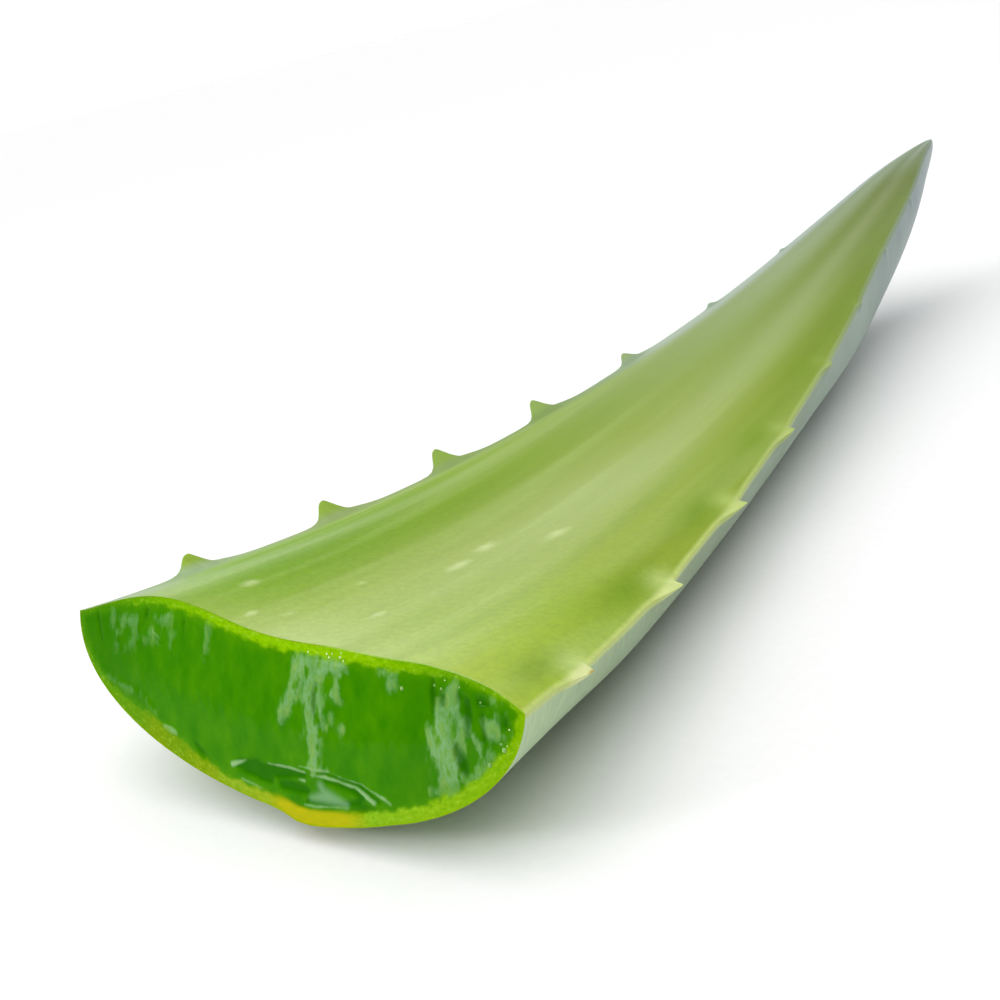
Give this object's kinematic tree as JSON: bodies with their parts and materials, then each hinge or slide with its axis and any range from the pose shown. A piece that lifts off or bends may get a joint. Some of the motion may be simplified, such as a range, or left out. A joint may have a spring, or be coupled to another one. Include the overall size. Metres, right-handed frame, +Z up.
{
  "type": "aloe vera leaf",
  "caption": "Fleshy tapering aloe leaf cut straight across, lying on its rounded underside, with small teeth along both margins.",
  "frame": {"origin": "middle of the bounding box at the height of the surface that the leaf lies on", "axes": "+Z up, +Y from the cut face towards the tip, +X towards the right margin seen from the cut"},
  "size_m": [0.0632, 0.1978, 0.0265],
  "materials": {
    "leaf": "satin"
  },
  "bodies": {
    "root": {"leaf": "leaf"}
  },
  "joints": []
}
